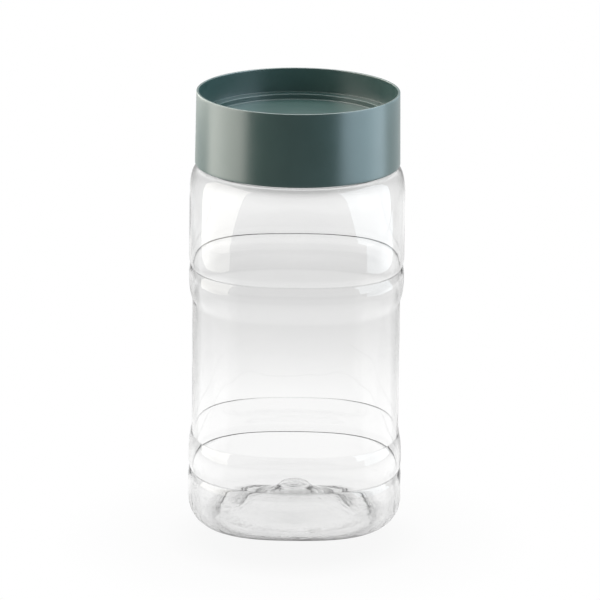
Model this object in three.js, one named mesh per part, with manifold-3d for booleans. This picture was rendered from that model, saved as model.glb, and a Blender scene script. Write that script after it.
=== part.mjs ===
// Wide-mouth storage jar with a screw cap, in millimetres, +Z up.
// The origin is the centre of the plane the jar stands on; a flat side faces -Y.

import * as THREE from "three";
import { mergeVertices } from "three/addons/utils/BufferGeometryUtils.js";
import Module from "manifold-3d";

const wasm = await Module();
wasm.setup();

// Overall size
const TOTAL_HEIGHT = 200;
const BODY_HALF = 48.8; // half the width across the flats of the body
const WALL = 0.8;
const JAR_SEGMENTS = 40;
const CAP_SEGMENTS = 48;
const CURVE_DIVISIONS = 3;
const CAP_CURVE_DIVISIONS = 2;

// Body section: a circle has squareness 2, and a larger number is squarer
const ROUND = 2;
const BODY_SQUARENESS = 2.64;
const SQUARE_BELOW = 130; // the body is fully squared below this height
const ROUND_ABOVE = 166; // and round above this one
const BASE_ROUND_RADIUS = 27; // the base is round inside this radius
const BASE_SQUARE_RADIUS = 37; // and squared outside this one

// Base: a standing ring round a hollow dome, whose middle carries a moulding boss inside
const HEEL_WIDTH = 10.3;
const HEEL_HEIGHT = 10.6;
const RING_WIDTH = 2;
const RING_SLOPE = 1.5; // width of the slope from the standing ring up to the recess inside it
const RECESS_HEIGHT = 1.2;
const DOME_FOOT_RADIUS = 29;
const DOME_FOOT_ROUNDING = 4;
const DOME_EDGE_RADIUS = 20;
const DOME_EDGE_HEIGHT = 6.8;
const DOME_SKIRT = [11.5, 9.6]; // the underside flares out round this radius and height
const DOME_FLAT_RADIUS = 4.5;
const DOME_UNDERSIDE = 13.2;
const BOSS_HEIGHT = 15.6;
const BOSS_RADIUS = 5.8;
const BOSS_ROUNDING = 1.2;
const BOSS_SKIRT = [10.5, 10.6]; // the boss flares out over the dome round this radius and height

// Rings and label panel up the side
const LOWER_GROOVE = 24.7;
const LOWER_GROOVE_DEPTH = 1.3;
const LOWER_GROOVE_REACH = 4;
const LABEL_BOTTOM = 41.6;
const LABEL_BOTTOM_BLEND = 9;
const LABEL_TOP = 103.2;
const LABEL_TOP_BLEND = 9.8;
const LABEL_TOP_TURN = 3.1; // the wall leaves the label panel steeply over this height
const LABEL_TOP_EASE = 0.35; // and comes out slowly over this last depth
const LABEL_DEPTH = 1.6;
const UPPER_GROOVE = 120.7;
const UPPER_GROOVE_DEPTH = 1.2;
const UPPER_GROOVE_BELOW = 4.5;
const UPPER_GROOVE_ABOVE = 3.5;
const CREASE_REACH = 1; // height of the straight slope beside a crease
const CREASE_RISE = 0.6; // how far that slope comes out

// Shoulder and neck
const SHOULDER_BOTTOM = 153;
const SHOULDER_TOP = 165.6;
const SHOULDER_DROP = 5.5; // how far below its top the shoulder starts to turn in
const SHOULDER_LEAN = 1.2;
const NECK_RADIUS = 43.1;
const BORE_RADIUS = 41.9;
const LAND_HEIGHT = 186.2; // the mouth's flat top

// Cap
const CAP_BOTTOM = 166.6;
const CAP_BOTTOM_RADIUS = 46.4;
const CAP_TOP_RADIUS = 45.9;
const RIM_INNER_RADIUS = 44.8;
const SLEEVE_INNER_RADIUS = 45;
const EDGE_ROUNDING = 0.35;
const LEDGE_HEIGHT = 188.8;
const LEDGE_INNER_RADIUS = 40.3;
const LEDGE_THICKNESS = 1.4;
const LEDGE_ROUNDING = 0.3;
const PANEL_HEIGHT = 186.4;
const PANEL_THICKNESS = 1.3;
const PANEL_DRAFT = 0.2; // how much narrower the recess is at the panel than at the ledge
const PLUG_WALL = 1.2;
const PLUG_TAPER = 0.4;
const PLUG_ROUNDING = 1;

// Sealing ring under the cap's ledge
const SEAL_THICKNESS = 1;
const SEAL_INNER_RADIUS = 41.8;
const SEAL_OUTER_RADIUS = 44.5;
const SEAL_GAP = 0.1;

// Screw thread: a right-hand helix with two starts
const THREAD_LEAD = 8.4;
const THREAD_STARTS = 2;
const THREAD_TURNS = 0.75;
const THREAD_TOP = 183.2; // middle of the neck ridge at its upper end
const NECK_CREST_RADIUS = 44.2;
const CAP_CREST_RADIUS = 43.5;
const RIDGE_ROOT_WIDTH = 2;
const RIDGE_CREST_WIDTH = 0.9;
const RIDGE_STEPS = 24;
const RIDGE_SINK = 0.3; // how far a ridge reaches into the wall that carries it
const RUN_OUT_SHARE = 0.12; // the share of a ridge's length that thins out at each end
const RUN_OUT_HEIGHT = 0.12; // the share of its height that is left at the very end

const { smoothstep } = THREE.MathUtils;

// Exponent of the superellipse that is the section at a given radius and height
function squarenessAt(radius, height) {
  const byHeight = 1 - smoothstep(height, SQUARE_BELOW, ROUND_ABOVE);
  const byRadius = smoothstep(radius, BASE_ROUND_RADIUS, BASE_SQUARE_RADIUS);
  return ROUND + (BODY_SQUARENESS - ROUND) * byHeight * byRadius;
}

// Revolves a profile about Z; x of the profile is the radius and y the height
function revolve(points, segments) {
  const geometry = new THREE.LatheGeometry(points, segments);
  geometry.rotateX(Math.PI / 2);
  return geometry;
}

// Pushes each point of a revolved body outwards until its section is the jar's rounded square
function squareUp(geometry) {
  const position = geometry.attributes.position;
  for (let i = 0; i < position.count; i += 1) {
    const x = position.getX(i);
    const y = position.getY(i);
    const radius = Math.hypot(x, y);
    if (radius < 1e-6) {
      continue;
    }
    const power = squarenessAt(radius, position.getZ(i));
    const sum = Math.abs(x / radius) ** power + Math.abs(y / radius) ** power;
    const stretch = sum ** (-1 / power);
    position.setXY(i, x * stretch, y * stretch);
  }
  return geometry;
}

// Turns a closed three.js geometry into a manifold solid
function toSolid(geometry) {
  geometry.deleteAttribute("normal");
  geometry.deleteAttribute("uv");
  const merged = mergeVertices(geometry, 1e-5);
  const index = merged.index.array;
  const triangles = [];
  for (let i = 0; i < index.length; i += 3) {
    const [a, b, c] = [index[i], index[i + 1], index[i + 2]];
    if (a !== b && b !== c && c !== a) {
      triangles.push(a, b, c);
    }
  }
  return new wasm.Manifold(new wasm.Mesh({
    numProp: 3,
    vertProperties: new Float32Array(merged.attributes.position.array),
    triVerts: new Uint32Array(triangles),
  }));
}

// Turns a manifold solid back into a three.js geometry
function toGeometry(solid) {
  const mesh = solid.getMesh();
  const geometry = new THREE.BufferGeometry();
  geometry.setAttribute("position", new THREE.BufferAttribute(mesh.vertProperties, 3));
  geometry.setIndex(new THREE.BufferAttribute(mesh.triVerts, 1));
  geometry.computeVertexNormals();
  return geometry;
}

// One thread ridge. It starts at its upper end and runs down clockwise, and it thins out at both ends.
function threadRidge(rootRadius, crestRadius, upperEnd, startAngle) {
  const section = new THREE.Shape();
  const sunkRadius = rootRadius - Math.sign(crestRadius - rootRadius) * RIDGE_SINK;
  const corners = [
    [sunkRadius, -RIDGE_ROOT_WIDTH / 2],
    [crestRadius, -RIDGE_CREST_WIDTH / 2],
    [crestRadius, RIDGE_CREST_WIDTH / 2],
    [sunkRadius, RIDGE_ROOT_WIDTH / 2],
  ];
  section.setFromPoints(corners.map(([radius, height]) => new THREE.Vector2(radius, height)));
  const geometry = new THREE.ExtrudeGeometry(section, { depth: 1, steps: RIDGE_STEPS, bevelEnabled: false });
  const position = geometry.attributes.position;
  for (let i = 0; i < position.count; i += 1) {
    const along = position.getZ(i);
    const body = smoothstep(Math.min(along, 1 - along), 0, RUN_OUT_SHARE);
    const fullness = THREE.MathUtils.lerp(RUN_OUT_HEIGHT, 1, body);
    const rise = (position.getX(i) - sunkRadius) * fullness;
    const angle = startAngle - along * THREAD_TURNS * 2 * Math.PI;
    const radius = sunkRadius + rise;
    const height = upperEnd - along * THREAD_TURNS * THREAD_LEAD + position.getY(i);
    position.setXYZ(i, radius * Math.cos(angle), radius * Math.sin(angle), height);
  }
  return toSolid(geometry);
}

// Adds the thread's starts to a solid, evenly round the axis
function addThread(solid, rootRadius, crestRadius, upperEnd, firstAngle) {
  let threaded = solid;
  for (let start = 0; start < THREAD_STARTS; start += 1) {
    const angle = firstAngle + (start * 2 * Math.PI) / THREAD_STARTS;
    threaded = threaded.add(threadRidge(rootRadius, crestRadius, upperEnd, angle));
  }
  return threaded;
}

// A ring pressed into the wall: two curved slopes that meet in a crease
function addGroove(path, full, depth, height, below, above) {
  const floor = full - depth;
  const slope = floor + CREASE_RISE;
  path.lineTo(full, height - below);
  path.bezierCurveTo(full, height - below / 2, slope, height - CREASE_REACH, floor, height);
  path.bezierCurveTo(slope, height + CREASE_REACH, full, height + above / 2, full, height + above);
}

// Draws the base from the edge of its dome to the standing ring; inset is the distance inside the outer skin.
function drawBase(path, inset) {
  const recess = RECESS_HEIGHT + inset;
  const foot = DOME_FOOT_RADIUS + inset;
  const ring = BODY_HALF - HEEL_WIDTH - RING_WIDTH + inset;
  path.lineTo(foot - DOME_FOOT_ROUNDING, recess + DOME_FOOT_ROUNDING / 2);
  path.quadraticCurveTo(foot, recess, foot + DOME_FOOT_ROUNDING, recess);
  path.lineTo(ring - RING_SLOPE, recess);
  path.lineTo(ring, inset);
}

// Draws the side wall from the heel up to the foot of the shoulder
function drawSide(path, inset) {
  const full = BODY_HALF - inset;
  const label = full - LABEL_DEPTH;
  const labelFoot = LABEL_BOTTOM - LABEL_BOTTOM_BLEND;
  const middle = LABEL_BOTTOM - LABEL_BOTTOM_BLEND / 2;
  const slope = label + CREASE_RISE;
  const steep = LABEL_TOP + LABEL_TOP_TURN;
  const heelCentre = BODY_HALF - HEEL_WIDTH;
  path.absellipse(heelCentre, HEEL_HEIGHT, HEEL_WIDTH - inset, HEEL_HEIGHT - inset, -Math.PI / 2, 0);
  addGroove(path, full, LOWER_GROOVE_DEPTH, LOWER_GROOVE, LOWER_GROOVE_REACH, LOWER_GROOVE_REACH);
  path.lineTo(full, labelFoot);
  path.bezierCurveTo(full, middle, slope, LABEL_BOTTOM - CREASE_REACH, label, LABEL_BOTTOM);
  path.lineTo(label, LABEL_TOP);
  path.bezierCurveTo(label, steep, full - LABEL_TOP_EASE, steep, full, LABEL_TOP + LABEL_TOP_BLEND);
  addGroove(path, full, UPPER_GROOVE_DEPTH, UPPER_GROOVE, UPPER_GROOVE_BELOW, UPPER_GROOVE_ABOVE);
  path.lineTo(full, SHOULDER_BOTTOM);
}

// The outer skin, from the middle of the base to the mouth
function outerSkin() {
  const path = new THREE.Path();
  const lean = BODY_HALF - SHOULDER_LEAN;
  path.moveTo(0, DOME_UNDERSIDE);
  path.lineTo(DOME_FLAT_RADIUS, DOME_UNDERSIDE);
  path.quadraticCurveTo(...DOME_SKIRT, DOME_EDGE_RADIUS, DOME_EDGE_HEIGHT);
  drawBase(path, 0);
  drawSide(path, 0);
  path.bezierCurveTo(BODY_HALF, SHOULDER_TOP - SHOULDER_DROP, lean, SHOULDER_TOP, NECK_RADIUS, SHOULDER_TOP);
  path.lineTo(NECK_RADIUS, LAND_HEIGHT);
  return path.getPoints(CURVE_DIVISIONS);
}

// The inner skin, drawn from the middle of the base upwards as the outer one is
function innerSkin() {
  const path = new THREE.Path();
  const full = BODY_HALF - WALL;
  const under = SHOULDER_TOP - WALL;
  const neckFoot = BORE_RADIUS + WALL / 2;
  path.moveTo(0, BOSS_HEIGHT);
  path.lineTo(BOSS_RADIUS - BOSS_ROUNDING, BOSS_HEIGHT);
  path.quadraticCurveTo(BOSS_RADIUS, BOSS_HEIGHT, BOSS_RADIUS + BOSS_ROUNDING, BOSS_HEIGHT - BOSS_ROUNDING);
  path.quadraticCurveTo(...BOSS_SKIRT, DOME_EDGE_RADIUS + WALL, DOME_EDGE_HEIGHT + WALL);
  drawBase(path, WALL);
  drawSide(path, WALL);
  path.bezierCurveTo(full, under - SHOULDER_DROP, full - SHOULDER_LEAN, under, neckFoot, under);
  path.lineTo(BORE_RADIUS, SHOULDER_TOP + WALL);
  path.lineTo(BORE_RADIUS, LAND_HEIGHT);
  return path.getPoints(CURVE_DIVISIONS);
}

function makeJarBody() {
  const skin = [...outerSkin(), ...innerSkin().reverse()];
  const bottle = toSolid(squareUp(revolve(skin, JAR_SEGMENTS)));
  return toGeometry(addThread(bottle, NECK_RADIUS, NECK_CREST_RADIUS, THREAD_TOP, Math.PI / 2));
}

// The cap's section, from the underside of its panel out round the sleeve and back over the top
function capSection() {
  const path = new THREE.Path();
  const ledgeUnderside = LEDGE_HEIGHT - LEDGE_THICKNESS;
  const panelUnderside = PANEL_HEIGHT - PANEL_THICKNESS;
  const plug = LEDGE_INNER_RADIUS + PLUG_WALL;
  const plugTip = plug - PLUG_TAPER;
  const panelRadius = LEDGE_INNER_RADIUS - PANEL_DRAFT;
  path.moveTo(0, panelUnderside);
  path.lineTo(plugTip - PLUG_ROUNDING, panelUnderside);
  path.quadraticCurveTo(plugTip, panelUnderside, plugTip, panelUnderside + PLUG_ROUNDING);
  path.lineTo(plug, ledgeUnderside);
  path.lineTo(SLEEVE_INNER_RADIUS, ledgeUnderside);
  path.lineTo(SLEEVE_INNER_RADIUS, CAP_BOTTOM);
  path.lineTo(CAP_BOTTOM_RADIUS - EDGE_ROUNDING, CAP_BOTTOM);
  path.quadraticCurveTo(CAP_BOTTOM_RADIUS, CAP_BOTTOM, CAP_BOTTOM_RADIUS, CAP_BOTTOM + EDGE_ROUNDING);
  path.lineTo(CAP_TOP_RADIUS, TOTAL_HEIGHT - EDGE_ROUNDING);
  path.quadraticCurveTo(CAP_TOP_RADIUS, TOTAL_HEIGHT, CAP_TOP_RADIUS - EDGE_ROUNDING, TOTAL_HEIGHT);
  path.lineTo(RIM_INNER_RADIUS + EDGE_ROUNDING, TOTAL_HEIGHT);
  path.quadraticCurveTo(RIM_INNER_RADIUS, TOTAL_HEIGHT, RIM_INNER_RADIUS, TOTAL_HEIGHT - EDGE_ROUNDING);
  path.lineTo(RIM_INNER_RADIUS, LEDGE_HEIGHT + EDGE_ROUNDING);
  path.quadraticCurveTo(RIM_INNER_RADIUS, LEDGE_HEIGHT, RIM_INNER_RADIUS - EDGE_ROUNDING, LEDGE_HEIGHT);
  path.lineTo(LEDGE_INNER_RADIUS + LEDGE_ROUNDING, LEDGE_HEIGHT);
  path.quadraticCurveTo(LEDGE_INNER_RADIUS, LEDGE_HEIGHT, LEDGE_INNER_RADIUS, LEDGE_HEIGHT - LEDGE_ROUNDING);
  path.lineTo(panelRadius, PANEL_HEIGHT + LEDGE_ROUNDING);
  path.quadraticCurveTo(panelRadius, PANEL_HEIGHT, panelRadius - LEDGE_ROUNDING, PANEL_HEIGHT);
  path.lineTo(0, PANEL_HEIGHT);
  return path.getPoints(CAP_CURVE_DIVISIONS);
}

function makeScrewCap() {
  const shell = toSolid(revolve(capSection(), CAP_SEGMENTS));
  // The cap's ridges lie midway between the neck's, so they stay clear all the way up the helix.
  const pitch = THREAD_LEAD / THREAD_STARTS;
  const upperEnd = THREAD_TOP - pitch / 2;
  return toGeometry(addThread(shell, SLEEVE_INNER_RADIUS, CAP_CREST_RADIUS, upperEnd, Math.PI / 2));
}

function makeSealingRing() {
  const top = LEDGE_HEIGHT - LEDGE_THICKNESS - SEAL_GAP;
  const bottom = top - SEAL_THICKNESS;
  const section = [
    new THREE.Vector2(SEAL_INNER_RADIUS, bottom),
    new THREE.Vector2(SEAL_OUTER_RADIUS, bottom),
    new THREE.Vector2(SEAL_OUTER_RADIUS, top),
    new THREE.Vector2(SEAL_INNER_RADIUS, top),
    new THREE.Vector2(SEAL_INNER_RADIUS, bottom),
  ];
  return toGeometry(toSolid(revolve(section, CAP_SEGMENTS)));
}

function makePiece(name, geometry, colour, roughness) {
  const material = new THREE.MeshStandardMaterial({ color: colour, roughness, metalness: 0 });
  const mesh = new THREE.Mesh(geometry, material);
  mesh.name = name;
  return mesh;
}

const jar = new THREE.Group();

const jarBody = makePiece("jar_body", makeJarBody(), 0xe9edee, 0.05);
jarBody.material.transparent = true;
jarBody.material.opacity = 0.3;
jar.add(jarBody);

jar.add(makePiece("sealing_ring", makeSealingRing(), 0xeceae4, 0.7));
jar.add(makePiece("screw_cap", makeScrewCap(), 0x5d736c, 0.45));

export default jar;
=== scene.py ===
"""Looks of a wide-mouth jar in a studio: a clear blown body, a satin screw cap and its sealing ring."""
import math

import bpy
import numpy as np
from mathutils import Matrix, Vector


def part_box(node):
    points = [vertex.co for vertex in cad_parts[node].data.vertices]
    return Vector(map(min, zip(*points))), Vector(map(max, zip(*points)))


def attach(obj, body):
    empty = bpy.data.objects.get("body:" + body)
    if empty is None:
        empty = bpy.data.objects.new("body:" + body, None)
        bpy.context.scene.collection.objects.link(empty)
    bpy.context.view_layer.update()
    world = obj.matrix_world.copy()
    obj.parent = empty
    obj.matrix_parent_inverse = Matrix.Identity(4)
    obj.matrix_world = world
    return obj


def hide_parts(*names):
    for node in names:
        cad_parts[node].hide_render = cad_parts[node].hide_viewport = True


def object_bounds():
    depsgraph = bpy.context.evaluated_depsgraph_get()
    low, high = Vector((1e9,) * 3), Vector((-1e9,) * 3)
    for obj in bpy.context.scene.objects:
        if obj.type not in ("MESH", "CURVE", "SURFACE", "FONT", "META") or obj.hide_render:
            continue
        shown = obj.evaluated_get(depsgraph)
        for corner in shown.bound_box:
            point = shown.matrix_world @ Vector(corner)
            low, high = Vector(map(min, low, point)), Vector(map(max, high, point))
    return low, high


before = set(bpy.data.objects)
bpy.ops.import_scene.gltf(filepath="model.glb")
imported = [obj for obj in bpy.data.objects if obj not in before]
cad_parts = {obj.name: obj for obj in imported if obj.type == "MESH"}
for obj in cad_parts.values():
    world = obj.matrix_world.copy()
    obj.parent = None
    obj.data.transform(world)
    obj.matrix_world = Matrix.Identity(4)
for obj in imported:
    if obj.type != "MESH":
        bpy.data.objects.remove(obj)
cad_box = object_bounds()

MM = 0.001
jar_low, jar_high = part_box("jar_body")
cap_low, cap_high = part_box("screw_cap")
seal_low, seal_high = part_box("sealing_ring")

# ---------------------------------------------------------------- sizes, in millimetres

BODY_HALF = jar_high.x / MM  # half the width across the flats of the body
WALL = 0.8
LAND = jar_high.z / MM
TOTAL = cap_high.z / MM

# The section is a superellipse: 2 is a circle, and a larger number is squarer.
ROUND = 2.0
BODY_SQUARENESS = 2.64
SQUARE_BELOW, ROUND_ABOVE = 130.0, 166.0  # heights
BASE_ROUND, BASE_SQUARE = 27.0, 37.0  # radii

# Base: a standing ring round a hollow dome, whose middle carries a moulding boss inside
HEEL_WIDTH, HEEL_HEIGHT = 10.3, 10.6
RING_WIDTH, RING_SLOPE = 2.0, 1.5
RECESS = 1.2
DOME_FOOT, DOME_FOOT_ROUNDING = 29.0, 4.0
DOME_EDGE = (20.0, 6.8)
DOME_SKIRT = (11.5, 9.6)
DOME_FLAT, DOME_UNDERSIDE = 4.5, 13.2
BOSS_HEIGHT, BOSS_RADIUS, BOSS_ROUNDING = 15.6, 5.8, 1.2
BOSS_SKIRT = (10.5, 10.6)

# Rings and label panel up the side
LOWER_GROOVE, LOWER_GROOVE_DEPTH, LOWER_GROOVE_REACH = 24.7, 1.3, 4.0
LABEL_BOTTOM, LABEL_BOTTOM_BLEND = 41.6, 9.0
LABEL_TOP, LABEL_TOP_BLEND = 103.2, 9.8
LABEL_TOP_TURN, LABEL_TOP_EASE = 3.1, 0.35
LABEL_DEPTH = 1.6
UPPER_GROOVE, UPPER_GROOVE_DEPTH = 120.7, 1.2
UPPER_GROOVE_BELOW, UPPER_GROOVE_ABOVE = 4.5, 3.5
CREASE_REACH, CREASE_RISE = 1.0, 0.6
CREASE_SHIFT = 0.25  # how much lower the label's crease lies inside, as a share of the wall

# Shoulder and neck
SHOULDER_BOTTOM, SHOULDER_TOP = 153.0, 165.6
SHOULDER_DROP, SHOULDER_LEAN = 5.5, 1.2
NECK, BORE = 43.1, 41.9
NECK_FILLET = 0.8
BORE_FILLET_TOP = 0.6  # how far above the shoulder the fillet inside the neck ends
MOUTH_ROUNDING = 0.3

# Cap
CAP_BOTTOM = cap_low.z / MM
CAP_BOTTOM_RADIUS = cap_high.x / MM
CAP_TOP_RADIUS = 45.9
CAP_ROUNDING = 0.4
RIM_INNER, SLEEVE_INNER = 44.8, 45.0
LEDGE, LEDGE_INNER, LEDGE_THICKNESS = 188.8, 40.3, 1.4
LEDGE_ROUNDING = 0.25
PANEL, PANEL_THICKNESS = 186.4, 1.3
PANEL_DRAFT, PANEL_ROUNDING = 0.2, 0.3
PLUG_WALL, PLUG_TAPER, PLUG_ROUNDING = 1.2, 0.4, 1.0
PLUG_LEAN = 0.2  # how far inside the plug's tip its rounding's corner lies

# Sealing ring
SEAL_INNER, SEAL_OUTER = 41.8, seal_high.x / MM
SEAL_ROUNDING = 0.25

# Screw thread: a right-hand helix with two starts
THREAD_LEAD, THREAD_STARTS, THREAD_TURNS = 8.4, 2, 0.75
THREAD_TOP = 183.2  # middle of the neck ridge at its upper end
NECK_CREST, CAP_CREST = 44.2, 43.5
RIDGE_HALF_ROOT, RIDGE_HALF_CREST = 1.0, 0.45
RUN_OUT = 0.12  # the share of a ridge's length that fades at each end
NECK_PLAIN_BELOW, NECK_PLAIN_ABOVE = 1.5, 1.0  # neck without thread over the shoulder and under the mouth
SLEEVE_PLAIN_BELOW, SLEEVE_PLAIN_ABOVE = 1.0, 3.0  # sleeve without thread over its foot and under the ledge

# Meshes
JAR_SEGMENTS, CAP_SEGMENTS, SEAL_SEGMENTS = 192, 240, 180
GUARD = 0.15  # distance between the last two rows of a long flat stretch
CROWDING = 2.2  # how strongly the rows crowd towards a crease
SOFTENING = 2  # rounds of easing of the jar's corners

# ---------------------------------------------------------------- revolved meshes


class Outline:
    """A profile in millimetres, radius against height, with rows about pitch apart."""

    def __init__(self, radius, height, pitch=0.5):
        self.points = [np.array((radius, height), float)]
        self.pitch = pitch

    def _follow(self, place, length, bias=0):
        """Adds rows along a stretch; bias 1 crowds them towards its end and -1 towards its start."""
        count = max(2, round(length / self.pitch))
        share = np.arange(1, count + 1) / count
        if bias > 0:
            share = 1 - (1 - share) ** CROWDING
        if bias < 0:
            share = share**CROWDING
        self.points += [place(t) for t in share]
        return self

    def line(self, radius, height, step=None):
        """A straight stretch: rows step apart, and closer near both ends so that its shading stays flat."""
        start = self.points[-1]
        span = np.array((radius, height), float) - start
        length = np.linalg.norm(span)
        if step is None or length < 4 * GUARD:
            return self._follow(lambda t: start + span * t, length)
        rows = np.linspace(2 * GUARD, length - 2 * GUARD, max(2, round(length / step)))
        rows = np.concatenate([[GUARD], rows, [length - GUARD, length]])
        self.points += [start + span * row / length for row in rows]
        return self

    def curve(self, first, second, end, bias=0):
        """A cubic curve with two handles."""
        a = self.points[-1]
        b, c, d = (np.array(point, float) for point in (first, second, end))
        length = (np.linalg.norm(b - a) + np.linalg.norm(c - b) + np.linalg.norm(d - c)) * 0.8

        def place(t):
            s = 1 - t
            return s**3 * a + 3 * s * s * t * b + 3 * s * t * t * c + t**3 * d

        return self._follow(place, length, bias)

    def bend(self, corner, end):
        """A curve that heads for corner and ends at end."""
        a = self.points[-1]
        corner = np.array(corner, float)
        end = np.array(end, float)
        return self.curve(a + (corner - a) * 2 / 3, end + (corner - end) * 2 / 3, end)

    def arc(self, centre, radii, start, stop):
        """A stretch of an ellipse between two angles."""

        def place(t):
            angle = start + (stop - start) * t
            return np.array((centre[0] + radii[0] * math.cos(angle), centre[1] + radii[1] * math.sin(angle)))

        return self._follow(place, max(radii) * abs(stop - start))

    def softened(self, rounds):
        """The points, with every corner eased a little; both ends stay."""
        path = np.array(self.points)
        for _ in range(rounds):
            path[1:-1] = path[1:-1] * 0.5 + (path[:-2] + path[2:]) * 0.25
        return path


def smoothstep(value, low, high):
    """Goes smoothly from 0 at low to 1 at high."""
    share = np.clip((value - low) / (high - low), 0, 1)
    return share * share * (3 - 2 * share)


def revolve(name, profile, segments, stretch=None, lift=None):
    """A smooth closed mesh from a profile that runs from the axis round to the axis, or closes on itself.

    stretch gives a factor, and lift a radial shift in millimetres, for each profile point and angle."""
    closed = np.linalg.norm(profile[0] - profile[-1]) < 1e-6
    ring = profile[:-1] if closed else profile[1:-1]
    angle = np.linspace(0, 2 * math.pi, segments, endpoint=False)
    radius = np.repeat(ring[:, :1], segments, axis=1)
    height = np.repeat(ring[:, 1:], segments, axis=1)
    around = np.broadcast_to(angle, radius.shape)
    shift = lift(np.arange(len(ring))[:, None], radius, height, around) if lift else 0.0
    factor = stretch(radius, height, around) if stretch else 1.0
    radius = radius * factor + shift
    points = np.stack([radius * np.cos(around), radius * np.sin(around), height], axis=2).reshape(-1, 3)
    rows = len(ring)
    quads = []
    for row in range(rows if closed else rows - 1):
        after = (row + 1) % rows
        here = row * segments + np.arange(segments)
        there = after * segments + np.arange(segments)
        quads.append(np.stack([here, np.roll(here, -1), np.roll(there, -1), there], axis=1))
    faces = np.concatenate(quads).tolist()
    if not closed:
        first, last = len(points), len(points) + 1
        points = np.concatenate([points, [(0, 0, profile[0][1]), (0, 0, profile[-1][1])]])
        end = (rows - 1) * segments
        for step in range(segments):
            following = (step + 1) % segments
            faces.append((first, following, step))
            faces.append((last, end + step, end + following))
    mesh = bpy.data.meshes.new(name)
    mesh.from_pydata((points * MM).tolist(), [], faces)
    mesh.shade_smooth()
    mesh.validate()
    piece = bpy.data.objects.new(name, mesh)
    bpy.context.scene.collection.objects.link(piece)
    return piece


def section_stretch(radius, height, angle):
    """Turns the round section into the jar's rounded square."""
    by_height = 1 - smoothstep(height, SQUARE_BELOW, ROUND_ABOVE)
    by_radius = smoothstep(radius, BASE_ROUND, BASE_SQUARE)
    power = ROUND + (BODY_SQUARENESS - ROUND) * by_height * by_radius
    return (np.abs(np.cos(angle)) ** power + np.abs(np.sin(angle)) ** power) ** (-1 / power)


def ridge_height(height, angle, top, rise):
    """How far the thread stands out at each place: a right-hand helix that fades at both ends."""
    total = np.zeros(np.broadcast(height, angle).shape)
    for start in range(THREAD_STARTS):
        begin = math.pi / 2 + start * 2 * math.pi / THREAD_STARTS
        along = np.mod(begin - angle, 2 * math.pi) / (2 * math.pi * THREAD_TURNS)
        middle = top - along * THREAD_TURNS * THREAD_LEAD
        side = 1 - smoothstep(np.abs(height - middle), RIDGE_HALF_CREST, RIDGE_HALF_ROOT)
        ends = smoothstep(np.minimum(along, 1 - along), 0, RUN_OUT)
        total = np.maximum(total, side * ends * (along < 1))
    return total * rise


# ---------------------------------------------------------------- jar body


def add_groove(outline, full, depth, height, below, above):
    """A ring pressed into the wall: two curved slopes that meet in a crease."""
    floor = full - depth
    slope = floor + CREASE_RISE
    outline.line(full, height - below, 1)
    outline.curve((full, height - below / 2), (slope, height - CREASE_REACH), (floor, height), 1)
    outline.curve((slope, height + CREASE_REACH), (full, height + above / 2), (full, height + above), -1)


def draw_base(outline, inset):
    """The base from its dome's edge to the standing ring; inset is the distance inside the outer skin."""
    recess = RECESS + inset
    foot = DOME_FOOT + inset
    ring = BODY_HALF - HEEL_WIDTH - RING_WIDTH + inset
    outline.line(foot - DOME_FOOT_ROUNDING, recess + DOME_FOOT_ROUNDING / 2)
    outline.bend((foot, recess), (foot + DOME_FOOT_ROUNDING, recess))
    outline.line(ring - RING_SLOPE, recess)
    outline.bend((ring - RING_SLOPE / 2, inset), (ring, inset))
    outline.line(BODY_HALF - HEEL_WIDTH, inset)


def draw_side(outline, inset):
    """The wall from the heel to the foot of the shoulder, drawn as the base is."""
    full = BODY_HALF - inset
    label = full - LABEL_DEPTH
    heel_centre = (BODY_HALF - HEEL_WIDTH, HEEL_HEIGHT)
    outline.arc(heel_centre, (HEEL_WIDTH - inset, HEEL_HEIGHT - inset), -math.pi / 2, 0)
    outline.pitch = 0.3
    add_groove(outline, full, LOWER_GROOVE_DEPTH, LOWER_GROOVE, LOWER_GROOVE_REACH, LOWER_GROOVE_REACH)
    # The wall keeps its thickness round the bend, so the crease lies lower in the inner skin.
    crease = LABEL_BOTTOM - inset * CREASE_SHIFT
    outline.line(full, crease - LABEL_BOTTOM_BLEND, 1)
    middle = (full, crease - LABEL_BOTTOM_BLEND / 2)
    outline.curve(middle, (label + CREASE_RISE, crease - CREASE_REACH), (label, crease), 1)
    outline.line(label, LABEL_TOP, 5)
    steep = LABEL_TOP + LABEL_TOP_TURN
    outline.curve((label, steep), (full - LABEL_TOP_EASE, steep), (full, LABEL_TOP + LABEL_TOP_BLEND))
    add_groove(outline, full, UPPER_GROOVE_DEPTH, UPPER_GROOVE, UPPER_GROOVE_BELOW, UPPER_GROOVE_ABOVE)
    outline.line(full, SHOULDER_BOTTOM, 4)


def outer_skin():
    """The outer skin, from the middle of the base to the mouth."""
    lean = BODY_HALF - SHOULDER_LEAN
    outline = Outline(0, DOME_UNDERSIDE)
    outline.line(DOME_FLAT, DOME_UNDERSIDE)
    outline.bend(DOME_SKIRT, DOME_EDGE)
    draw_base(outline, 0)
    draw_side(outline, 0)
    neck_foot = (NECK + NECK_FILLET, SHOULDER_TOP)
    outline.curve((BODY_HALF, SHOULDER_TOP - SHOULDER_DROP), (lean, SHOULDER_TOP), neck_foot)
    outline.bend((NECK, SHOULDER_TOP), (NECK, SHOULDER_TOP + NECK_FILLET))
    outline.pitch = 0.3
    outline.line(NECK, LAND - MOUTH_ROUNDING)
    outline.bend((NECK, LAND), (NECK - MOUTH_ROUNDING, LAND))
    return outline.softened(SOFTENING)


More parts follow.
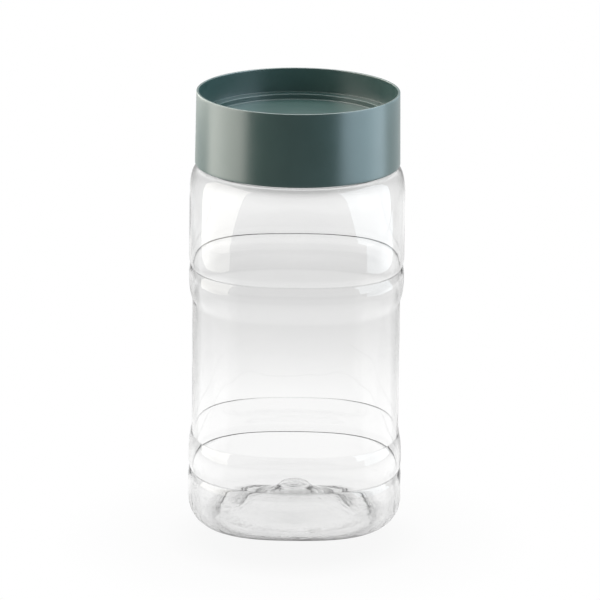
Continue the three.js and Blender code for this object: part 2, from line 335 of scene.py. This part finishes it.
def inner_skin():
    """The inner skin, from the middle of the base to the mouth as the outer one."""
    full = BODY_HALF - WALL
    under = SHOULDER_TOP - WALL
    outline = Outline(0, BOSS_HEIGHT)
    outline.line(BOSS_RADIUS - BOSS_ROUNDING, BOSS_HEIGHT)
    outline.bend((BOSS_RADIUS, BOSS_HEIGHT), (BOSS_RADIUS + BOSS_ROUNDING, BOSS_HEIGHT - BOSS_ROUNDING))
    outline.bend(BOSS_SKIRT, (DOME_EDGE[0] + WALL, DOME_EDGE[1] + WALL))
    draw_base(outline, WALL)
    draw_side(outline, WALL)
    outline.curve((full, under - SHOULDER_DROP), (full - SHOULDER_LEAN, under), (BORE + NECK_FILLET, under))
    outline.bend((BORE, under), (BORE, SHOULDER_TOP + BORE_FILLET_TOP))
    outline.line(BORE, LAND - MOUTH_ROUNDING)
    outline.bend((BORE, LAND), (BORE + MOUTH_ROUNDING, LAND))
    return outline.softened(SOFTENING)


def make_jar():
    outside = outer_skin()
    inside = inner_skin()
    profile = np.concatenate([outside, inside[::-1]])

    def lift(row, radius, height, angle):
        outer = row < len(outside) - 1
        on_neck = outer & (height > SHOULDER_TOP + NECK_PLAIN_BELOW) & (height < LAND - NECK_PLAIN_ABOVE)
        return np.where(on_neck, ridge_height(height, angle, THREAD_TOP, NECK_CREST - NECK), 0.0)

    return revolve("jar_shell", profile, JAR_SEGMENTS, section_stretch, lift)


# ---------------------------------------------------------------- cap and ring


def make_cap():
    under_ledge = LEDGE - LEDGE_THICKNESS
    under_panel = PANEL - PANEL_THICKNESS
    plug = LEDGE_INNER + PLUG_WALL
    plug_tip = plug - PLUG_TAPER
    edge = CAP_ROUNDING
    outline = Outline(0, under_panel)
    outline.line(plug_tip - PLUG_ROUNDING, under_panel)
    outline.bend((plug_tip - PLUG_LEAN, under_panel), (plug_tip, under_panel + PLUG_ROUNDING))
    outline.line(plug, under_ledge)
    outline.line(SLEEVE_INNER, under_ledge)
    outline.pitch = 0.3
    outline.line(SLEEVE_INNER, CAP_BOTTOM)
    outline.pitch = 0.15
    outline.line(CAP_BOTTOM_RADIUS - edge, CAP_BOTTOM)
    outline.bend((CAP_BOTTOM_RADIUS, CAP_BOTTOM), (CAP_BOTTOM_RADIUS, CAP_BOTTOM + edge))
    outline.pitch = 1.2
    outline.line(CAP_TOP_RADIUS, TOTAL - edge)
    outline.pitch = 0.12
    outline.bend((CAP_TOP_RADIUS, TOTAL), (CAP_TOP_RADIUS - edge, TOTAL))
    outline.line(RIM_INNER + edge, TOTAL)
    outline.bend((RIM_INNER, TOTAL), (RIM_INNER, TOTAL - edge))
    outline.pitch = 0.6
    outline.line(RIM_INNER, LEDGE + LEDGE_ROUNDING)
    outline.pitch = 0.08
    outline.bend((RIM_INNER, LEDGE), (RIM_INNER - LEDGE_ROUNDING, LEDGE))
    outline.pitch = 0.5
    outline.line(LEDGE_INNER + LEDGE_ROUNDING, LEDGE)
    outline.pitch = 0.08
    outline.bend((LEDGE_INNER, LEDGE), (LEDGE_INNER - PANEL_DRAFT * 0.1, LEDGE - LEDGE_ROUNDING))
    outline.pitch = 0.5
    outline.line(LEDGE_INNER - PANEL_DRAFT * 0.75, PANEL + PANEL_ROUNDING)
    outline.pitch = 0.08
    panel_edge = LEDGE_INNER - PANEL_DRAFT
    outline.bend((panel_edge, PANEL), (panel_edge - PANEL_ROUNDING, PANEL))
    outline.pitch = 0.8
    outline.line(0, PANEL)
    profile = np.array(outline.points)

    def lift(row, radius, height, angle):
        threaded = (height > CAP_BOTTOM + SLEEVE_PLAIN_BELOW) & (height < LEDGE - SLEEVE_PLAIN_ABOVE)
        inside = (np.abs(radius - SLEEVE_INNER) < 0.01) & threaded
        # The cap's ridges lie midway between the neck's.
        top = THREAD_TOP - THREAD_LEAD / THREAD_STARTS / 2
        return np.where(inside, -ridge_height(height, angle, top, SLEEVE_INNER - CAP_CREST), 0.0)

    return revolve("cap_shell", profile, CAP_SEGMENTS, None, lift)


def make_seal():
    bottom, top = seal_low.z / MM, seal_high.z / MM
    edge = SEAL_ROUNDING
    outline = Outline(SEAL_INNER + edge, bottom, 0.2)
    outline.line(SEAL_OUTER - edge, bottom)
    outline.bend((SEAL_OUTER, bottom), (SEAL_OUTER, bottom + edge))
    outline.line(SEAL_OUTER, top - edge)
    outline.bend((SEAL_OUTER, top), (SEAL_OUTER - edge, top))
    outline.line(SEAL_INNER + edge, top)
    outline.bend((SEAL_INNER, top), (SEAL_INNER, top - edge))
    outline.line(SEAL_INNER, bottom + edge)
    outline.bend((SEAL_INNER, bottom), (SEAL_INNER + edge, bottom))
    return revolve("seal_ring", np.array(outline.points), SEAL_SEGMENTS)


# ---------------------------------------------------------------- materials


def grey(value):
    return (value, value, value)


class Nodes:
    """A short way to write a material's or the world's node tree."""

    def __init__(self, owner):
        owner.use_nodes = True
        self.tree = owner.node_tree
        self.tree.nodes.clear()

    def add(self, kind, settings=None, **inputs):
        """A new node with its settings; an input's name has underscores for spaces."""
        node = self.tree.nodes.new(kind)
        for key, value in (settings or {}).items():
            setattr(node, key, value)
        for key, value in inputs.items():
            self.set(node, key.replace("_", " "), value)
        return node

    def set(self, node, key, value):
        socket = node.inputs[int(key)] if key.isdigit() else node.inputs[key]
        if isinstance(value, bpy.types.NodeSocket):
            self.tree.links.new(value, socket)
        else:
            socket.default_value = value

    def noise(self, scale, detail=3.0, roughness=0.5):
        texture = self.add("ShaderNodeTexNoise", Scale=scale, Detail=detail, Roughness=roughness)
        self.set(texture, "Vector", self.add("ShaderNodeTexCoord").outputs["Object"])
        return texture.outputs["Fac"]

    def spread(self, value, from_low, from_high, to_low, to_high):
        """Maps one range of a value to another, and holds it at the ends."""
        return self.add(
            "ShaderNodeMapRange",
            Value=value, From_Min=from_low, From_Max=from_high, To_Min=to_low, To_Max=to_high,
        ).outputs["Result"]

    def ramp(self, value, *stops):
        """A colour that follows a value between 0 and 1; each stop is a place and a colour."""
        node = self.add("ShaderNodeValToRGB")
        self.set(node, "Fac", value)
        elements = node.color_ramp.elements
        while len(elements) < len(stops):
            elements.new(0.5)
        for element, (place, colour) in zip(elements, stops):
            element.position = place
            element.color = (*colour, 1)
        return node.outputs["Color"]

    def math(self, operation, first, second):
        node = self.add("ShaderNodeMath", {"operation": operation})
        self.set(node, "0", first)
        self.set(node, "1", second)
        return node.outputs[0]

    def size(self, value):
        """The value without its sign."""
        return self.math("MAXIMUM", value, self.math("MULTIPLY", value, -1.0))

    def raised(self, value):
        """The size of value to the power of the body's squareness."""
        return self.math("POWER", self.size(value), BODY_SQUARENESS)

    def mix_colour(self, share, first, second, blend="MIX"):
        node = self.add("ShaderNodeMix", {"data_type": "RGBA", "blend_type": blend})
        for key, value in zip(("0", "6", "7"), (share, first, second)):
            self.set(node, key, value)
        return node.outputs[2]

    def bump(self, height, strength, distance, under=None):
        node = self.add("ShaderNodeBump", Strength=strength, Distance=distance)
        self.set(node, "Height", height)
        if under is not None:
            self.set(node, "Normal", under)
        return node.outputs["Normal"]

    def finish(self, shader):
        out = self.add("ShaderNodeOutputMaterial")
        self.tree.links.new(shader, out.inputs["Surface"])
        return out


def clear_plastic():
    """Clear PET: polished, with a little haze and ripple in the base."""
    material = bpy.data.materials.new("clear_pet")
    n = Nodes(material)
    tint = n.ramp(n.noise(25, 2), (0.3, (0.985, 0.985, 0.985)), (0.7, (0.995, 0.995, 0.993)))
    height = n.add("ShaderNodeSeparateXYZ")
    n.set(height, "0", n.add("ShaderNodeTexCoord").outputs["Object"])
    in_base = n.spread(height.outputs["Z"], 0.012, 0.019, 1.0, 0.0)
    polish = n.spread(n.noise(90, 4, 0.6), 0.45, 0.8, 0.0, 0.03)
    haze = n.math("MULTIPLY", in_base, n.spread(n.noise(160, 4, 0.6), 0.35, 0.65, 0.0, 0.07))
    rough = n.math("MAXIMUM", polish, haze)
    ripple = n.math("MULTIPLY", in_base, n.noise(260, 3, 0.6))
    wave = n.bump(n.noise(38, 2, 0.4), 0.5, 0.0004, n.bump(ripple, 0.25, 0.0006))
    shader = n.add("ShaderNodeBsdfPrincipled", Base_Color=tint, Roughness=rough, Normal=wave)
    n.set(shader, "Transmission Weight", 1.0)
    n.set(shader, "IOR", 1.57)
    shadow = n.add("ShaderNodeBsdfTransparent", Color=(0.95, 0.955, 0.955, 1))
    mix = n.add("ShaderNodeMixShader")
    n.set(mix, "0", n.add("ShaderNodeLightPath").outputs["Is Shadow Ray"])
    n.set(mix, "1", shader.outputs[0])
    n.set(mix, "2", shadow.outputs[0])
    out = n.finish(mix.outputs[0])
    body = n.add("ShaderNodeVolumeAbsorption", Color=(0.10, 0.13, 0.13, 1), Density=14.0)
    n.set(out, "Volume", body.outputs[0])
    return material


def cap_plastic():
    """Satin grey-green polypropylene with a faint grain."""
    material = bpy.data.materials.new("cap_polypropylene")
    n = Nodes(material)
    colour = n.ramp(n.noise(60, 5, 0.6), (0.35, (0.015, 0.040, 0.036)), (0.65, (0.018, 0.045, 0.041)))
    rough = n.spread(n.noise(130, 2), 0.1, 0.9, 0.275, 0.325)
    grain = n.bump(n.noise(450, 2), 0.05, 0.0001)
    shader = n.add("ShaderNodeBsdfPrincipled", Base_Color=colour, Roughness=rough, Normal=grain)
    n.set(shader, "IOR", 1.75)
    n.finish(shader.outputs[0])
    return material


def seal_rubber():
    """Soft off-white foam."""
    material = bpy.data.materials.new("seal_foam")
    n = Nodes(material)
    colour = n.ramp(n.noise(500, 4), (0.3, (0.70, 0.69, 0.65)), (0.7, (0.80, 0.79, 0.75)))
    rough = n.spread(n.noise(900, 3), 0.3, 0.7, 0.6, 0.8)
    shader = n.add("ShaderNodeBsdfPrincipled", Base_Color=colour, Roughness=rough)
    n.set(shader, "Normal", n.bump(n.noise(4000, 3), 0.3, 0.0001))
    n.finish(shader.outputs[0])
    return material


def dress(piece, material):
    piece.data.materials.clear()
    piece.data.materials.append(material)


jar = make_jar()
dress(jar, clear_plastic())
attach(jar, "jar")
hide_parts("jar_body")

cap = make_cap()
dress(cap, cap_plastic())
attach(cap, "cap")
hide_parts("screw_cap")

seal = make_seal()
dress(seal, seal_rubber())
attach(seal, "seal")
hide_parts("sealing_ring")

# ---------------------------------------------------------------- studio

scene = bpy.context.scene
scene.view_settings.view_transform = "Standard"

WHITE = (1.0, 1.0, 1.0)
FLOOR_RADIUS = 6.0
FLOOR_GAP = 0.0002
# The soft shade on the floor is a painted shadow in the floor's emission.
SHADE_CENTRE = (0, -0.033, 0)  # the middle of the soft shade on the floor


def make_floor():
    """A pale table that glows by itself: nearly white where it is seen, with a painted soft shadow, and
    painted light and shade in greys where the jar mirrors or refracts it.
    """
    mesh = bpy.data.meshes.new("floor")
    corners = [(-FLOOR_RADIUS, -FLOOR_RADIUS, 0), (FLOOR_RADIUS, -FLOOR_RADIUS, 0)]
    corners += [(FLOOR_RADIUS, FLOOR_RADIUS, 0), (-FLOOR_RADIUS, FLOOR_RADIUS, 0)]
    mesh.from_pydata(corners, [], [(0, 1, 2, 3)])
    floor = bpy.data.objects.new("floor", mesh)
    floor.location.z = cad_box[0][2] - FLOOR_GAP
    scene.collection.objects.link(floor)
    material = bpy.data.materials.new("acrylic_table")
    n = Nodes(material)
    place = n.add("ShaderNodeTexCoord").outputs["Object"]
    length = n.add("ShaderNodeVectorMath", {"operation": "LENGTH"})
    n.set(length, "0", place)
    distance = length.outputs["Value"]
    parts = n.add("ShaderNodeSeparateXYZ")
    n.set(parts, "0", place)

    # Painted light and shade in greys, by distance from the jar's axis, behind the jar and in front of it
    far_side = n.spread(parts.outputs["Y"], -0.1, 0.1, 0.0, 1.0)
    back = n.ramp(
        distance,
        (0.19, grey(0.95)), (0.23, grey(0.87)), (0.27, grey(0.78)), (0.31, grey(0.70)), (0.36, grey(0.66)),
        (0.44, grey(0.75)), (0.50, grey(0.86)), (0.60, grey(0.95)), (0.70, grey(0.92)), (1.0, grey(0.55)),
    )
    front = n.ramp(distance, (0.24, grey(0.97)), (0.32, grey(0.78)), (0.42, grey(0.56)), (0.62, grey(0.10)))
    shade = n.mix_colour(far_side, front, back)

    # The contact shade under the jar is a painted shadow, and follows the rounded square of its base.
    powers = n.math("ADD", n.raised(parts.outputs["X"]), n.raised(parts.outputs["Y"]))
    square = n.spread(n.math("POWER", powers, 1 / BODY_SQUARENESS), 0.0, 0.1, 0.0, 1.0)
    under_front = n.ramp(
        square,
        (0.20, grey(0.80)), (0.37, grey(0.80)), (0.38, grey(0.22)),
        (0.41, grey(0.22)), (0.45, grey(0.80)), (0.75, grey(1.0)),
    )
    under_rest = n.ramp(
        square,
        (0.20, grey(0.82)), (0.27, grey(0.84)), (0.33, grey(0.78)),
        (0.39, grey(0.66)), (0.42, grey(0.90)), (0.65, grey(1.0)),
    )
    past_front = n.spread(parts.outputs["Y"], -0.034, -0.018, 0.0, 1.0)
    contact = n.mix_colour(past_front, under_front, under_rest)
    shade = n.mix_colour(1.0, shade, contact, "MULTIPLY")

    # The lamps don't light the table, so it is brighter to the left and right in place of their glow.
    sideways = n.spread(n.math("DIVIDE", n.size(parts.outputs["X"]), distance), 0.82, 0.88, 0.0, 1.0)
    beside = n.math("MULTIPLY", sideways, n.spread(distance, 0.09, 0.13, 0.0, 1.0))
    glow = n.add("ShaderNodeEmission", Color=shade, Strength=n.spread(beside, 0.0, 1.0, 1.07, 1.45))
    polish = n.add("ShaderNodeBsdfGlossy", Color=(1, 1, 1, 1), Roughness=0.04)
    gloss = n.add("ShaderNodeMixShader")
    n.set(gloss, "0", n.add("ShaderNodeFresnel", IOR=1.3).outputs[0])
    n.set(gloss, "1", glow.outputs[0])
    n.set(gloss, "2", polish.outputs[0])

    # What is seen directly: white, with one painted soft shadow round the jar's foot; nothing casts a shadow
    # on the table
    from_shade = n.add("ShaderNodeVectorMath", {"operation": "DISTANCE"})
    n.set(from_shade, "0", place)
    n.set(from_shade, "1", SHADE_CENTRE)
    near = n.spread(from_shade.outputs["Value"], 0.0, 0.11, 0.0, 1.0)
    paper_with_painted_shadow = n.ramp(near, (0.15, grey(0.922)), (0.35, grey(0.934)), (0.55, grey(0.975)), (1.0, grey(1.0)))
    seen = n.add("ShaderNodeEmission", Color=paper_with_painted_shadow)
    mix = n.add("ShaderNodeMixShader")
    n.set(mix, "0", n.add("ShaderNodeLightPath").outputs["Is Camera Ray"])
    n.set(mix, "1", gloss.outputs[0])
    n.set(mix, "2", seen.outputs[0])
    n.finish(mix.outputs[0])
    mesh.materials.append(material)


def make_world():
    """White where it is seen, and a grey room where the jar and the cap mirror or refract it."""
    world = bpy.data.worlds.new("studio")
    scene.world = world
    n = Nodes(world)
    direction = n.add("ShaderNodeTexCoord").outputs["Generated"]
    parts = n.add("ShaderNodeSeparateXYZ")
    n.set(parts, "0", direction)
    behind = n.spread(parts.outputs["Y"], -1.0, 1.0, 0.0, 1.0)
    level = n.ramp(behind, (0.0, grey(0.42)), (0.5, grey(0.5)), (1.0, grey(0.40)))
    above = n.ramp(behind, (0.0, grey(0.30)), (0.5, grey(0.5)), (1.0, grey(1.0)))
    room = n.mix_colour(n.spread(parts.outputs["Z"], 0.10, 0.24, 0.0, 1.0), level, above)
    dim = n.add("ShaderNodeBackground", Color=room)
    white = n.add("ShaderNodeBackground", Color=(1, 1, 1, 1))
    mix = n.add("ShaderNodeMixShader")
    n.set(mix, "0", n.add("ShaderNodeLightPath").outputs["Is Camera Ray"])
    n.set(mix, "1", dim.outputs[0])
    n.set(mix, "2", white.outputs[0])
    out = n.add("ShaderNodeOutputWorld")
    n.tree.links.new(mix.outputs[0], out.inputs["Surface"])


def group(name, *pieces):
    """A collection of the pieces that a set of lamps lights."""
    collection = bpy.data.collections.new(name)
    for piece in pieces:
        collection.objects.link(piece)
    return collection


def softbox(name, lit, azimuth, elevation, distance, size, radiance, colour, height=0.1):
    """A flat area light that lights one group and faces the jar's axis at height.

    Azimuth is from the front, positive to the right. Seen through the clear walls, a lamp stays hidden."""
    aim = Vector((0, 0, height))
    turn, rise = math.radians(azimuth), math.radians(elevation)
    way = Vector((math.sin(turn) * math.cos(rise), -math.cos(turn) * math.cos(rise), math.sin(rise)))
    light = bpy.data.lights.new(name, "AREA")
    light.shape = "RECTANGLE"
    light.size, light.size_y = size
    light.energy = radiance * math.pi * size[0] * size[1]
    light.color = colour
    lamp = bpy.data.objects.new(name, light)
    turned = way.to_track_quat("Z", "Y").to_matrix().to_4x4()
    lamp.matrix_world = Matrix.Translation(aim + way * distance) @ turned
    lamp.visible_camera = False
    lamp.visible_transmission = False
    lamp.light_linking.receiver_collection = lit
    scene.collection.objects.link(lamp)


CAMERA_DISTANCE = 2.2556
CAMERA_ELEVATION = 15.81  # degrees
CAMERA_SIDE, CAMERA_RISE = 0.0017, 0.0021  # how far the aim is off the middle of the object
CAMERA_ROLL = 0.60  # degrees
LENS, SENSOR = 297.3, 36.0  # millimetres


def make_camera():
    data = bpy.data.cameras.new("camera")
    data.sensor_width = SENSOR
    data.lens = LENS
    data.clip_end = 20
    camera = bpy.data.objects.new("camera", data)
    rise = math.radians(CAMERA_ELEVATION)
    aim = Vector((CAMERA_SIDE, 0, (cad_box[0][2] + cad_box[1][2]) / 2 + CAMERA_RISE))
    away = Vector((0, -math.cos(rise), math.sin(rise)))
    look = away.to_track_quat("Z", "Y").to_matrix().to_4x4()
    roll = Matrix.Rotation(math.radians(CAMERA_ROLL), 4, "Z")
    camera.matrix_world = Matrix.Translation(aim + away * CAMERA_DISTANCE) @ look @ roll
    scene.collection.objects.link(camera)
    scene.camera = camera


make_camera()
make_floor()
make_world()
on_cap = group("lit_cap", cap)
on_jar = group("lit_jar", jar, seal)
WARM, COOL, PALE = (1.0, 0.98, 0.90), (0.70, 0.88, 1.0), (0.86, 0.95, 1.0)
LAMP_DISTANCE = 0.46

# Name, what it lights, azimuth, size, radiance, colour and height of each lamp beside the jar
side_lamps = [
    ("left_cap", on_cap, -86, (0.50, 0.18), 3.6, WARM, 0.10),
    ("left_cap_high", on_cap, -85, (0.50, 0.44), 6.2, WARM, 0.41),
    ("left_cap_rear", on_cap, -134, (0.30, 0.50), 4.4, WARM, 0.36),
    ("right_cap", on_cap, 79, (0.56, 0.18), 3.0, COOL, 0.10),
    ("right_cap_high", on_cap, 80, (0.56, 0.44), 5.7, COOL, 0.41),
    ("right_cap_rear", on_cap, 134, (0.30, 0.50), 1.2, COOL, 0.36),
    ("left_strip", on_jar, -84, (0.50, 0.06), 1.8, WARM, 0.03),
    ("left_low", on_jar, -85, (0.50, 0.10), 2.6, WARM, 0.11),
    ("left_high", on_jar, -85, (0.50, 0.44), 2.3, WARM, 0.38),
    ("right_strip", on_jar, 88, (0.46, 0.10), 2.0, PALE, 0.05),
    ("right_low", on_jar, 81, (0.54, 0.06), 2.4, PALE, 0.13),
    ("right_high", on_jar, 81, (0.54, 0.44), 2.2, PALE, 0.38),
]
for name, lit, azimuth, size, radiance, colour, height in side_lamps:
    softbox(name, lit, azimuth, 0, LAMP_DISTANCE, size, radiance, colour, height)
softbox("top_cap", on_cap, 180, 70, 1.2, (1.2, 1.0), 7.0, WHITE)
softbox("top_jar", on_jar, 180, 70, 1.2, (1.2, 1.0), 4.0, WHITE)
